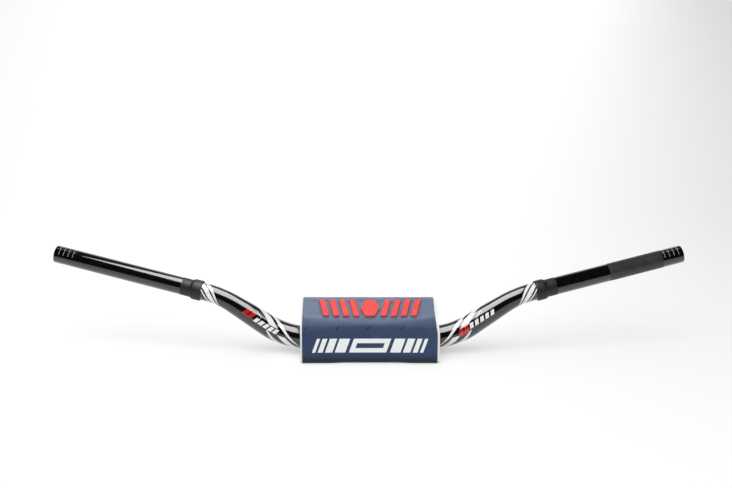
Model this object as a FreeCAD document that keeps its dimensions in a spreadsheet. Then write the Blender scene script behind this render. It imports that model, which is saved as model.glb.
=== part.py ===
import FreeCAD, Part

import math
import os

import Sketcher
from FreeCAD import Placement, Rotation, Vector

# A motocross handlebar without a crossbar, standing on its bar pad, in millimetres.
# X runs across the bar, Y runs back towards the rider and Z is up.
# The origin is the clamp centre, on the axis of the tube.

DRIVING_SIZES = [
    # The tube and its bends.
    ("overall_width", 801.5, "from one tip to the other"),
    ("clamp_diameter", 28.6, "outside diameter at the clamp and through the lower bends"),
    ("grip_diameter", 22.2, "outside diameter of the grip seats"),
    ("clamp_bore", 19.8, "inside diameter at the clamp"),
    ("grip_bore", 14.2, "inside diameter at the tips"),
    ("clamp_half", 103.5, "from the clamp centre to the corner of a lower bend"),
    ("riser_length", 98.5, "between the corners of the lower and the upper bend"),
    ("riser_rise", 33.0, "degrees that a riser climbs"),
    ("riser_sweep", 2.0, "degrees that a riser leans back"),
    ("grip_rise", 11.7, "degrees that a grip climbs"),
    ("grip_sweep", 10.5, "degrees that a grip sweeps back"),
    ("lower_bend_radius", 94.0, "of the tube's axis"),
    ("upper_bend_radius", 93.0, "of the tube's axis"),
    ("taper_length", 70.0, "of the swaged cone, which starts where the lower bend ends"),
    ("rim_radius", 1.2, "outside rounding of the tips"),
    ("rim_bevel", 0.6, "inside bevel of the tips"),
    # The raised collar at the inner end of each grip section.
    ("collar_setback", 5.1, "from the end of the upper bend to the collar"),
    ("collar_length", 15.5, "along the tube"),
    ("collar_height", 1.75, "of the collar above the grip seat"),
    ("shoulder_radius", 6.0, "of the collar's soft shoulder on the grip side"),
    ("collar_edge", 1.0, "bevel of the collar's sharp side"),
    # The outline of the pad across the tube.
    ("pad_front", 44.0, "from the tube's axis to the front wall"),
    ("pad_back", 29.5, "from the tube's axis to the back wall"),
    ("bend_height", 32.0, "of the corner between front and top, above the axis"),
    ("crest_back", 13.0, "of the crest's corner behind the axis"),
    ("crest_height", 53.0, "of the crest's corner above the axis"),
    ("back_height", 27.0, "of the back wall's upper corner above the axis"),
    ("bend_radius", 23.0, "between front and top"),
    ("crest_radius", 14.0, "at the crest"),
    ("back_radius", 24.0, "at the back wall's upper corner"),
    ("foot_radius", 4.0, "along the two bottom edges"),
    ("pad_offset", 1.5, "of the pad from the clamp centre, as it was pushed on"),
    ("foam_length", 172.0, "of the foam core along the tube"),
    ("cover_inset", 2.3, "of the cover's edge from the end of the foam"),
    # The wrap and its closure under the tube.
    ("cover_thickness", 1.0, "of the coated fabric"),
    ("cover_slack", 0.3, "between the cover and the foam"),
    ("tube_slack", 0.3, "between the tube and the foam"),
    ("flap_slack", 2.0, "between the tube and the inner flap"),
    ("tape_thickness", 0.9, "of the hook tape, and of the loop tape"),
    ("tape_width", 24.0, "across the tube"),
    ("tape_inset", 6.0, "from the cover's edge to the end of a tape"),
    ("inner_flap_reach", 17.0, "of the inner flap in front of the tube's axis"),
    ("outer_flap_reach", 24.5, "of the outer flap behind the tube's axis"),
    # The raised badge on top of the pad.
    ("badge_height", 2.0, "of its pieces above the cover"),
    ("badge_length", 32.0, "of its pieces up the slope"),
    ("lozenge_width", 24.0, "of the middle piece"),
    ("bar_width", 7.5, "of one bar along the tube"),
    ("bar_lean", 6.0, "that a bar's upper end stands further out than its lower end"),
    ("bar_pitch", 12.5, "from one bar to the next"),
    ("first_bar", 19.5, "from the middle of the badge to its first bar"),
    ("badge_edge", 0.5, "rounding of the upper edges"),
]
BARS_PER_SIDE = 4

# Heights of the pad's layers under the tube, as sums of sizes measured from the tube's axis.
INNER_FLAP_TOP = "-clamp_diameter/2 -flap_slack"
INNER_FLAP_UNDER = INNER_FLAP_TOP + " -cover_thickness"
TAPES_MEET = INNER_FLAP_UNDER + " -tape_thickness"
OUTER_FLAP_TOP = TAPES_MEET + " -tape_thickness"
PAD_BOTTOM = OUTER_FLAP_TOP + " -cover_thickness"

PAD_CORNERS = {
    "front_foot": ("-pad_front", PAD_BOTTOM),
    "bend": ("-pad_front", "+bend_height"),
    "crest": ("+crest_back", "+crest_height"),
    "back": ("+pad_back", "+back_height"),
    "back_foot": ("+pad_back", PAD_BOTTOM),
}
PAD_ROUNDINGS = {
    "front_foot": "foot_radius",
    "bend": "bend_radius",
    "crest": "crest_radius",
    "back": "back_radius",
    "back_foot": "foot_radius",
}

# How far a cutting tool runs past the face that it cuts.
OVERRUN = 5.0
# Points closer than this are the same point.
NEAR = 1e-3

document = FreeCAD.newDocument("handlebar")


def fill_sheet():
    """The spreadsheet of driving sizes: name, value and what it measures."""
    cells = document.addObject("Spreadsheet::Sheet", "Sizes")
    for row, (name, value, meaning) in enumerate(DRIVING_SIZES, start=1):
        cells.set(f"A{row}", name)
        cells.set(f"B{row}", str(value))
        cells.set(f"C{row}", meaning)
        cells.setAlias(f"B{row}", name)
    document.recompute()
    return cells


sheet = fill_sheet()


def size(name):
    """A driving size, read from the spreadsheet."""
    return float(sheet.get(name))


def split_term(term):
    """The sign, the name and the divisor of a term such as "-clamp_diameter/2"."""
    name, _, divisor = term.lstrip("+-").partition("/")
    return term[0], name, float(divisor or 1)


def total(terms):
    """The sum of the sizes that the terms name, such as "-pad_front +cover_thickness"."""
    result = 0.0
    for term in terms.split():
        sign, name, divisor = split_term(term)
        result += (-size(name) if sign == "-" else size(name)) / divisor
    return result


def formula(terms):
    """The same sum as an expression that follows the spreadsheet."""
    written = ""
    for term in terms.split():
        sign, name, divisor = split_term(term)
        written += f" {sign} Sizes.{name} / {divisor:g}"
    return written.lstrip("+ ")


def bind(item, **properties):
    """Ties properties to sums of sizes; a double underscore stands for a dot in the property."""
    for name, terms in properties.items():
        item.setExpression(name.replace("__", "."), formula(terms))


# Sketches and features inside a body.


def origin_plane(body, role):
    """One of the body's own origin planes."""
    return next(item for item in body.Origin.OriginFeatures if item.Role == role)


def new_sketch(body, name, role):
    """An empty sketch on one of the body's origin planes."""
    sketch = body.newObject("Sketcher::SketchObject", name)
    sketch.AttachmentSupport = [(origin_plane(body, role), "")]
    sketch.MapMode = "FlatFace"
    return sketch


def draw_polygon(body, name, role, corners):
    """A closed sketch of straight lines, each corner tied to sums of sizes."""
    sketch = new_sketch(body, name, role)
    points = [Vector(total(across), total(along), 0) for across, along in corners]
    for start, end in zip(points, points[1:] + points[:1]):
        sketch.addGeometry(Part.LineSegment(start, end), False)
    for line in range(len(points)):
        following = (line + 1) % len(points)
        sketch.addConstraint(Sketcher.Constraint("Coincident", line, 2, following, 1))
    for line, corner in enumerate(corners):
        for kind, terms in zip(("DistanceX", "DistanceY"), corner):
            constraint = Sketcher.Constraint(kind, -1, 1, line, 1, total(terms))
            index = sketch.addConstraint(constraint)
            sketch.setExpression(f"Constraints[{index}]", formula(terms))
    return sketch


def draw_circle(body, name, role, radius):
    """A sketch of one circle about the origin, its radius tied to a sum of sizes."""
    sketch = new_sketch(body, name, role)
    sketch.addGeometry(Part.Circle(Vector(0, 0, 0), Vector(0, 0, 1), total(radius)), False)
    sketch.addConstraint(Sketcher.Constraint("Coincident", 0, 3, -1, 1))
    index = sketch.addConstraint(Sketcher.Constraint("Radius", 0, total(radius)))
    sketch.setExpression(f"Constraints[{index}]", formula(radius))
    return sketch


def add_length(body, kind, name, sketch, length, side="One side"):
    """A Pad or Pocket of a sketch over a length tied to a sum of sizes."""
    feature = body.newObject(kind, name)
    feature.Profile = sketch
    feature.SideType = side
    bind(feature, Length=length)
    document.recompute()
    return feature


def dress(body, kind, name, base, edges, **properties):
    """A Fillet or Chamfer on named edges or faces, its size tied to a sum of sizes."""
    feature = body.newObject(kind, name)
    feature.Base = (base, edges)
    bind(feature, **properties)
    document.recompute()
    return feature


def named_edges(shape, wanted):
    """The names of the shape's edges whose middle point passes the test."""
    names = []
    for number, edge in enumerate(shape.Edges, start=1):
        middle = edge.valueAt((edge.FirstParameter + edge.LastParameter) / 2)
        if wanted(edge, middle):
            names.append(f"Edge{number}")
    return names


def named_faces(shape, normal):
    """The names of the shape's flat faces that look along a direction."""
    return [
        f"Face{number}"
        for number, face in enumerate(shape.Faces, start=1)
        if isinstance(face.Surface, Part.Plane)
        and face.normalAt(0, 0).getAngle(normal) < NEAR
    ]


# The tube.


def run_direction(rise, sweep):
    """The direction of a straight run that climbs and sweeps by two angles, going outwards."""
    back = math.tan(math.radians(size(sweep)))
    up = math.tan(math.radians(size(rise)))
    return Vector(1, back, up).normalize()


def bend_arc(before, corner, after, radius):
    """The arc that rounds a corner of the axis: its start, middle and end."""
    inwards = (before - corner).normalize()
    outwards = (after - corner).normalize()
    half_angle = inwards.getAngle(outwards) / 2
    bisector = (inwards + outwards).normalize()
    setback = radius / math.tan(half_angle)
    centre = corner + bisector * (radius / math.sin(half_angle))
    return corner + inwards * setback, centre - bisector * radius, corner + outwards * setback


def tube_axis():
    """The axis of one half of the tube, from the clamp centre to OVERRUN past the tip.

    Three straight runs joined by two tangent arcs, and the distances along the axis at which
    the lower bend ends, the upper bend ends and the tip lies.
    """
    riser = run_direction("riser_rise", "riser_sweep")
    grip = run_direction("grip_rise", "grip_sweep")
    centre = Vector(0, 0, 0)
    lower = Vector(size("clamp_half"), 0, 0)
    upper = lower + riser * size("riser_length")
    # The tip's face is square to the grip, so its rim stands further out than its middle.
    rim_reach = size("grip_diameter") / 2 * math.sqrt(1 - grip.x**2)
    tip_x = size("overall_width") / 2 - rim_reach
    tip = upper + grip * ((tip_x - upper.x) / grip.x)
    lower_arc = bend_arc(centre, lower, upper, size("lower_bend_radius"))
    upper_arc = bend_arc(lower, upper, tip, size("upper_bend_radius"))
    edges = [
        Part.LineSegment(centre, lower_arc[0]).toShape(),
        Part.Arc(*lower_arc).toShape(),
        Part.LineSegment(lower_arc[2], upper_arc[0]).toShape(),
        Part.Arc(*upper_arc).toShape(),
        Part.LineSegment(upper_arc[2], tip + grip * OVERRUN).toShape(),
    ]
    lower_bend_end = edges[0].Length + edges[1].Length
    upper_bend_end = lower_bend_end + edges[2].Length + edges[3].Length
    tip_distance = upper_bend_end + edges[4].Length - OVERRUN
    return Part.Wire(edges), lower_bend_end, upper_bend_end, tip_distance


AXIS, LOWER_BEND_END, UPPER_BEND_END, TIP = tube_axis()


def on_axis(distance):
    """The point and the heading of the tube's axis at a distance from the clamp centre."""
    for edge in AXIS.OrderedEdges:
        if distance <= edge.Length + NEAR:
            break
        distance -= edge.Length
    parameter = edge.getParameterByLength(min(distance, edge.Length))
    return edge.valueAt(parameter), edge.tangentAt(parameter)


def stretch(start, end):
    """The part of the tube's axis between two distances from the clamp centre."""
    pieces = []
    passed = 0.0
    for edge in AXIS.OrderedEdges:
        low = max(start - passed, 0.0)
        high = min(end - passed, edge.Length)
        passed += edge.Length
        if high - low < NEAR:
            continue
        marks = (low, (low + high) / 2, high)
        first, middle, last = (edge.valueAt(edge.getParameterByLength(mark)) for mark in marks)
        straight = isinstance(edge.Curve, Part.Line)
        curve = Part.LineSegment(first, last) if straight else Part.Arc(first, middle, last)
        pieces.append(curve.toShape())
    return Part.Wire(pieces)


def section(name, distance, radius):
    """A circle square to the tube's axis, its radius tied to a sum of sizes."""
    point, heading = on_axis(distance)
    circle = document.addObject("Part::Circle", name)
    circle.Placement = Placement(point, Rotation(Vector(0, 0, 1), heading))
    bind(circle, Radius=radius)
    return circle


def sweep_along(name, start, end, radius, end_radius=None):
    """A rod along the tube's axis between two distances; with an end radius, it tapers."""
    spine = document.addObject("Part::Feature", f"{name}Axis")
    spine.Shape = stretch(start, end)
    rod = document.addObject("Part::Sweep", name)
    rod.Sections = [section(f"{name}Start", start, radius)]
    if end_radius:
        rod.Sections = rod.Sections + [section(f"{name}End", end, end_radius)]
    rod.Spine = (spine, [f"Edge{number + 1}" for number in range(len(spine.Shape.Edges))])
    rod.Solid = True
    return rod


def fuse(name, shapes):
    """One solid from several that meet or overlap."""
    joined = document.addObject("Part::MultiFuse", name)
    joined.Shapes = shapes
    joined.Refine = True
    return joined


def cut(name, base, tool):
    """A solid less a tool."""
    rest = document.addObject("Part::Cut", name)
    rest.Base = base
    rest.Tool = tool
    rest.Refine = True
    return rest


def mirrored(name, source):
    """The same thing on the other side of the clamp centre."""
    mirror = document.addObject("Part::Mirroring", name)
    mirror.Source = source
    mirror.Normal = Vector(1, 0, 0)
    return mirror


def make_rods(name, clamp_radius, grip_radius, far_end):
    """The three stretches of the tube's outside or bore: clamp, swaged cone and grip."""
    cone_end = LOWER_BEND_END + size("taper_length")
    return [
        sweep_along(f"{name}Clamp", 0, LOWER_BEND_END, clamp_radius),
        sweep_along(f"{name}Cone", LOWER_BEND_END, cone_end, clamp_radius, grip_radius),
        sweep_along(f"{name}Grip", cone_end, far_end, grip_radius),
    ]


def make_collar():
    """The raised collar: sharp towards the riser, with a soft shoulder towards the grip."""
    body = document.addObject("PartDesign::Body", "Collar")
    radius = "+grip_diameter/2 +collar_height"
    outline = draw_circle(body, "CollarOutline", "XY_Plane", radius)
    disc = add_length(body, "PartDesign::Pad", "CollarDisc", outline, "+collar_length")
    grip_side = named_edges(disc.Shape, lambda edge, middle: middle.z > NEAR and edge.isClosed())
    shoulder = dress(
        body, "PartDesign::Fillet", "CollarShoulder", disc, grip_side, Radius="+shoulder_radius"
    )
    riser_side = named_edges(shoulder.Shape, lambda edge, middle: abs(middle.z) < NEAR)
    dress(body, "PartDesign::Chamfer", "CollarEdge", shoulder, riser_side, Size="+collar_edge")
    point, heading = on_axis(UPPER_BEND_END + size("collar_setback"))
    body.Placement = Placement(point, Rotation(Vector(0, 0, 1), heading))
    return body


def rim_edges(shape, diameter):
    """The numbers of the circles of one diameter that lie in the tip's face."""
    tip = on_axis(TIP)[0]
    return [
        number
        for number, edge in enumerate(shape.Edges, start=1)
        if isinstance(edge.Curve, Part.Circle)
        and abs(edge.Curve.Radius - size(diameter) / 2) < NEAR
        and edge.Curve.Center.distanceToPoint(tip) < NEAR
    ]


def make_tube():
    """The one-piece tube: half of it is swept, bored and rounded at the tip, then mirrored."""
    outside = make_rods("Outside", "+clamp_diameter/2", "+grip_diameter/2", TIP)
    bore = make_rods("Bore", "+clamp_bore/2", "+grip_bore/2", TIP + OVERRUN)
    blank = fuse("TubeBlank", outside + [make_collar()])
    half = cut("TubeHalf", blank, fuse("TubeBore", bore))
    document.recompute()
    rounded = document.addObject("Part::Fillet", "TubeRim")
    rounded.Base = half
    radius = size("rim_radius")
    rounded.Edges = [(number, radius, radius) for number in rim_edges(half.Shape, "grip_diameter")]
    document.recompute()
    bevelled = document.addObject("Part::Chamfer", "TubeMouth")
    bevelled.Base = rounded
    bevel = size("rim_bevel")
    bevelled.Edges = [(number, bevel, bevel) for number in rim_edges(rounded.Shape, "grip_bore")]
    return fuse("bar_tube", [bevelled, mirrored("OtherHalf", bevelled)])


# The pad.


def make_pad_form(label, length):
    """A body with the pad's full outline, rounded along its long edges."""
    body = document.addObject("PartDesign::Body", label)
    outline = draw_polygon(body, f"{label}Outline", "YZ_Plane", list(PAD_CORNERS.values()))
    form = add_length(body, "PartDesign::Pad", f"{label}Form", outline, length, "Symmetric")
    for corner, radius in PAD_ROUNDINGS.items():
        across, along = PAD_CORNERS[corner]
        place = Vector(0, total(across), total(along))
        edges = named_edges(
            form.Shape, lambda edge, middle: middle.distanceToPoint(place) < NEAR
        )
        form = dress(
            body, "PartDesign::Fillet", f"{label}_{corner}", form, edges, Radius=f"+{radius}"
        )
    bind(body, Placement__Base__x="+pad_offset")
    return body, form


def make_block(name, lengthwise, front, back, bottom, top):
    """A box about the pad's middle: its length, and its sides as sums of sizes."""
    block = document.addObject("Part::Box", name)
    bind(block, Length=lengthwise)
    block.setExpression("Width", f"{formula(back)} - ({formula(front)})")
    block.setExpression("Height", f"{formula(top)} - ({formula(bottom)})")
    block.setExpression("Placement.Base.x", f"Sizes.pad_offset - ({formula(lengthwise)}) / 2")
    bind(block, Placement__Base__y=front, Placement__Base__z=bottom)
    return block


def make_foam():
    """The foam core: the pad's outline less the wrap, a round channel and a slot to push it on."""
    form, _ = make_pad_form("FoamForm", "+foam_length")
    wrap = document.addObject("Part::Thickness", "FoamWrap")
    ends = named_faces(form.Shape, Vector(1, 0, 0)) + named_faces(form.Shape, Vector(-1, 0, 0))
    wrap.Faces = (form, ends)
    wrap.Join = "Intersection"
    wrap.setExpression("Value", "-(Sizes.cover_thickness + Sizes.cover_slack)")
    core = cut("FoamCore", form, wrap)
    channel_radius = "+clamp_diameter/2 +tube_slack"
    channel = sweep_along("Channel", 0, LOWER_BEND_END, channel_radius)
    past_end = "+foam_length +cover_inset"
    slot = make_block(
        "Slot",
        past_end,
        "-clamp_diameter/2 -tube_slack",
        channel_radius,
        PAD_BOTTOM,
        "+clamp_diameter/2 -clamp_diameter/2",
    )
    flap_room = make_block(
        "FlapRoom",
        past_end,
        "-inner_flap_reach -cover_slack",
        "+pad_back +cover_slack",
        PAD_BOTTOM,
        INNER_FLAP_TOP + " +cover_slack",
    )
    tools = fuse("FoamCuts", [channel, mirrored("OtherChannel", channel), slot, flap_room])
    return cut("pad_foam_core", core, tools)


def make_cover():
    """The wrapped cover: one sheet round the foam, whose two flaps overlap under the tube."""
    cover_length = "+foam_length -cover_inset -cover_inset"
    body, form = make_pad_form("pad_cover", cover_length)
    ends = named_faces(form.Shape, Vector(1, 0, 0)) + named_faces(form.Shape, Vector(-1, 0, 0))
    shell = body.newObject("PartDesign::Thickness", "CoverShell")
    shell.Base = (form, ends)
    shell.Join = "Intersection"
    shell.Reversed = True
    bind(shell, Value="+cover_thickness")
    document.recompute()
    gap_back = "+pad_back +cover_thickness"
    gap_bottom = PAD_BOTTOM + " -cover_thickness"
    gap = draw_polygon(
        body,
        "FlapGapOutline",
        "YZ_Plane",
        [
            ("+outer_flap_reach", gap_bottom),
            (gap_back, gap_bottom),
            (gap_back, INNER_FLAP_UNDER),
            ("+outer_flap_reach", INNER_FLAP_UNDER),
        ],
    )
    add_length(body, "PartDesign::Pocket", "FlapGap", gap, "+foam_length", "Symmetric")
    wall_middle = "+pad_back -cover_thickness/2"
    flap = draw_polygon(
        body,
        "InnerFlapOutline",
        "YZ_Plane",
        [
            ("-inner_flap_reach", INNER_FLAP_UNDER),
            (wall_middle, INNER_FLAP_UNDER),
            (wall_middle, INNER_FLAP_TOP),
            ("-inner_flap_reach", INNER_FLAP_TOP),
        ],
    )
    add_length(body, "PartDesign::Pad", "InnerFlap", flap, cover_length, "Symmetric")
    return body


def make_tape(label, bottom, top):
    """One half of the closure, centred on the overlap of the two flaps."""
    tape = document.addObject("Part::Box", label)
    tape.setExpression(
        "Length", "Sizes.foam_length - 2 * (Sizes.cover_inset + Sizes.tape_inset)"
    )
    bind(tape, Width="+tape_width", Height="+tape_thickness", Placement__Base__z=bottom)
    tape.setExpression(
        "Placement.Base.x",
        "Sizes.pad_offset - Sizes.foam_length / 2 + Sizes.cover_inset + Sizes.tape_inset",
    )
    tape.setExpression(
        "Placement.Base.y",
        "(Sizes.outer_flap_reach - Sizes.inner_flap_reach - Sizes.tape_width) / 2",
    )
    return tape


# The badge.


def badge_seat():
    """The middle of the pad's flat top between its two roundings, and the top's slope."""
    bend = Vector(0, *(total(terms) for terms in PAD_CORNERS["bend"]))
    crest = Vector(0, *(total(terms) for terms in PAD_CORNERS["crest"]))
    back = Vector(0, *(total(terms) for terms in PAD_CORNERS["back"]))
    up_slope = (crest - bend).normalize()
    bend_turn = up_slope.getAngle(Vector(0, 0, 1))
    crest_turn = up_slope.getAngle(back - crest)
    flat_start = bend + up_slope * size("bend_radius") * math.tan(bend_turn / 2)
    flat_end = crest - up_slope * size("crest_radius") * math.tan(crest_turn / 2)
    middle = (flat_start + flat_end) / 2
    slope = math.degrees(math.atan2(up_slope.z, up_slope.y))
    return middle, slope


def make_badge_piece(label, corners, across):
    """One raised rubber piece of the badge, seated on the pad's sloping top."""
    body = document.addObject("PartDesign::Body", label)
    outline = draw_polygon(body, f"{label}_outline", "XY_Plane", corners)
    form = add_length(body, "PartDesign::Pad", f"{label}_form", outline, "+badge_height")
    top = named_faces(form.Shape, Vector(0, 0, 1))
    dress(body, "PartDesign::Fillet", f"{label}_edge", form, top, Radius="+badge_edge")
    middle, slope = badge_seat()
    place = middle + Vector(size("pad_offset") + across, 0, 0)
    body.Placement = Placement(place, Rotation(Vector(1, 0, 0), slope))
    return body


def make_badge():
    """The badge: a lozenge in the middle and a row of leaning bars on each side."""
    low, high = "-badge_length/2", "+badge_length/2"
    tip, flank = "lozenge_width/2", "lozenge_width/4"
    lozenge = [
        (f"-{flank}", low),
        (f"+{flank}", low),
        (f"+{tip}", "+badge_length/2 -badge_length/2"),
        (f"+{flank}", high),
        (f"-{flank}", high),
        (f"-{tip}", "+badge_length/2 -badge_length/2"),
    ]
    pieces = [make_badge_piece("badge_lozenge", lozenge, 0)]
    for side, sign, other in ((1, "+", "-"), (-1, "-", "+")):
        bar = [
            (f"{other}bar_width/2 {other}bar_lean/2", low),
            (f"{sign}bar_width/2 {other}bar_lean/2", low),
            (f"{sign}bar_width/2 {sign}bar_lean/2", high),
            (f"{other}bar_width/2 {sign}bar_lean/2", high),
        ]
        corners = bar if side > 0 else bar[::-1]
        name = "right" if side > 0 else "left"
        for number in range(BARS_PER_SIDE):
            across = side * (size("first_bar") + number * size("bar_pitch"))
            pieces.append(make_badge_piece(f"badge_bar_{name}_{number + 1}", corners, across))
    return pieces


def check(item):
    """Stops the build if an object failed, or has no valid shape."""
    failed = {"Invalid", "Error"} & set(item.State)
    if failed or item.Shape.isNull() or not item.Shape.isValid():
        raise RuntimeError(f"{item.Label} failed: {item.State}")


def main():
    """Builds every sub-part, checks it and writes it to a file of its own."""
    nodes = [make_tube(), make_foam(), make_cover()]
    nodes.append(make_tape("loop_tape", TAPES_MEET, INNER_FLAP_UNDER))
    nodes.append(make_tape("hook_tape", OUTER_FLAP_TOP, TAPES_MEET))
    nodes += make_badge()
    document.recompute()
    for item in document.Objects:
        if {"Invalid", "Error"} & set(item.State):
            raise RuntimeError(f"{item.Label} failed: {item.State}")
    os.makedirs("parts", exist_ok=True)
    for node in nodes:
        check(node)
        node.Shape.exportStep(f"parts/{node.Label}.step")
        solids = len(node.Shape.Solids)
        print(f"{node.Label}: {solids} solid, {node.Shape.Volume / 1000:.1f} cm3")


main()
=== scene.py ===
import math

import bpy
import numpy as np
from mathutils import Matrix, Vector, noise


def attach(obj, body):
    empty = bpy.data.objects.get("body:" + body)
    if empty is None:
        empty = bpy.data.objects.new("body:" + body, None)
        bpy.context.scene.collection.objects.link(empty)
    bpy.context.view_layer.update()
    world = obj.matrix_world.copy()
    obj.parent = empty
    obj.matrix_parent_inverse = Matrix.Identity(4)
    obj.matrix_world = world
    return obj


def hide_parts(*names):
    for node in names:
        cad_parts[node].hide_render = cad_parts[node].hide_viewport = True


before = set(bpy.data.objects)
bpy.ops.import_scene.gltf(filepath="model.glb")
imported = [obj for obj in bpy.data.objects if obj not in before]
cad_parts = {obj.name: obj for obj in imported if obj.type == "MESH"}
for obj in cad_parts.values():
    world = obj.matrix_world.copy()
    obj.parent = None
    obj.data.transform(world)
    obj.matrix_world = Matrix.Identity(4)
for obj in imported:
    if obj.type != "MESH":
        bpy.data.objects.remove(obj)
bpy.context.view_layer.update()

SCENE = bpy.context.scene
MM = 0.001

# Sizes of the tube, the same as those of its solid.
CLAMP_RADIUS = 14.3 * MM
GRIP_RADIUS = 11.1 * MM
CLAMP_BORE_RADIUS = 9.9 * MM
GRIP_BORE_RADIUS = 7.1 * MM
OVERALL_HALF = 400.75 * MM
CLAMP_HALF = 103.5 * MM
RISER_LENGTH = 98.5 * MM
RISER_RISE, RISER_SWEEP = math.radians(33.0), math.radians(2.0)
GRIP_RISE, GRIP_SWEEP = math.radians(11.7), math.radians(10.5)
LOWER_BEND_RADIUS = 94.0 * MM
UPPER_BEND_RADIUS = 93.0 * MM
TAPER_LENGTH = 70.0 * MM
RIM_RADIUS = 1.2 * MM
RIM_BEVEL = 0.6 * MM
COLLAR_SETBACK = 5.1 * MM
COLLAR_LENGTH = 15.5 * MM
COLLAR_HEIGHT = 1.75 * MM
SHOULDER_RADIUS = 6.0 * MM
COLLAR_EDGE = 1.0 * MM
COLLAR_ROUND = 2.2 * MM

# Sizes of the pad, the same as those of its solids.
PAD_FRONT = 44.0 * MM
PAD_BACK = 29.5 * MM
BEND_HEIGHT = 32.0 * MM
CREST_BACK, CREST_HEIGHT = 13.0 * MM, 53.0 * MM
BACK_HEIGHT = 27.0 * MM
BEND_ROUNDING = 23.0 * MM
CREST_ROUNDING = 14.0 * MM
BACK_ROUNDING = 24.0 * MM
FOOT_ROUNDING = 4.0 * MM
FLAP_ROUNDING = 1.6 * MM
PAD_OFFSET = 1.5 * MM
FOAM_LENGTH = 172.0 * MM
COVER_INSET = 2.3 * MM
COVER_THICKNESS = 1.0 * MM
SLACK = 0.3 * MM
FLAP_SLACK = 2.0 * MM
TAPE_THICKNESS = 0.9 * MM
TAPE_WIDTH = 24.0 * MM
TAPE_INSET = 6.0 * MM
INNER_FLAP_REACH = 17.0 * MM
OUTER_FLAP_REACH = 24.5 * MM
INNER_FLAP_TOP = -CLAMP_RADIUS - FLAP_SLACK
INNER_FLAP_UNDER = INNER_FLAP_TOP - COVER_THICKNESS
TAPES_MEET = INNER_FLAP_UNDER - TAPE_THICKNESS
OUTER_FLAP_TOP = TAPES_MEET - TAPE_THICKNESS
PAD_BOTTOM = OUTER_FLAP_TOP - COVER_THICKNESS

# Sizes of the badge, the same as those of its solids.
BADGE_HEIGHT = 2.0 * MM
BADGE_LENGTH = 32.0 * MM
LOZENGE_WIDTH = 24.0 * MM
BAR_WIDTH = 7.5 * MM
BAR_LEAN = 6.0 * MM
BAR_PITCH = 12.5 * MM
FIRST_BAR = 19.5 * MM
BARS_PER_SIDE = 4
BADGE_EDGE = 0.5 * MM
BADGE_SUNK = 0.4 * MM

# What only the surface shows.
AROUND = 176
MATTE_NECK = 10.7 * MM
KNURL_START = 99.0 * MM
KNURL_END = 28.0 * MM
KNURL_DEPTH = 0.14 * MM
KNURL_STEP = 0.396 * MM
KNURL_FADE = 1.2 * MM

# The photograph's frame, and the camera that fits it.
PHOTO_WIDTH = 732
FOCAL_PIXELS = 1350.0
SENSOR = 36.0
CAMERA_PLACE = (-0.00353, -1.6154, 0.5544)
CAMERA_ELEVATION = math.radians(15.0)


def srgb(red, green, blue):
    """A colour written as it shows on screen, from 0 to 255, as linear values."""
    values = (red / 255, green / 255, blue / 255)
    return tuple(v / 12.92 if v <= 0.04045 else ((v + 0.055) / 1.055) ** 2.4 for v in values)


# Meshes.


def new_object(name, data):
    """An object with its data, linked to the scene."""
    thing = bpy.data.objects.new(name, data)
    SCENE.collection.objects.link(thing)
    return thing


def new_mesh(name, points, faces):
    """A mesh object of points and faces."""
    mesh = bpy.data.meshes.new(name)
    mesh.from_pydata([tuple(p) for p in points], [], faces)
    return new_object(name, mesh)


def new_piece(name, points, faces, materials):
    """A mesh object with its materials, shaded smooth."""
    piece = new_mesh(name, points, faces)
    mesh = piece.data
    mesh.validate()
    for material in materials:
        mesh.materials.append(material)
    mesh.shade_smooth()
    return piece


def ring_faces(rings, around, closed=False):
    """Quads between rings of points that follow each other; closed joins the last to the first."""
    faces = []
    for ring in range(rings if closed else rings - 1):
        here, there = ring * around, (ring + 1) % rings * around
        for spot in range(around):
            after = (spot + 1) % around
            faces.append((here + spot, here + after, there + after, there + spot))
    return faces


def set_vectors(piece, name, domain, values):
    """A vector for each point or face corner, which a material reads by name."""
    layer = piece.data.attributes.new(name, "FLOAT_VECTOR", domain)
    layer.data.foreach_set("vector", np.asarray(values, np.float32).ravel())


def spread(start, end, step):
    """Evenly spaced values from start up to but without end."""
    count = max(1, round((end - start) / step))
    return [start + (end - start) * number / count for number in range(count)]


def spread_to(start, end, step):
    """Evenly spaced values from start up to and with end."""
    return spread(start, end, step) + [end]


def spread_over(stops, steps):
    """Evenly spaced values over the stretches between stops, without the last stop."""
    stretches = [spread(*stretch) for stretch in zip(stops, stops[1:], steps)]
    return sum(stretches, [])


SHARP_TURN = math.radians(50)


def sharpen(piece):
    """Keeps the edges that turn by more than a limit sharp."""
    piece.data.set_sharp_from_angle(angle=SHARP_TURN)


# The tube.


def run_direction(rise, sweep):
    return Vector((1, math.tan(sweep), math.tan(rise))).normalized()


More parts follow.
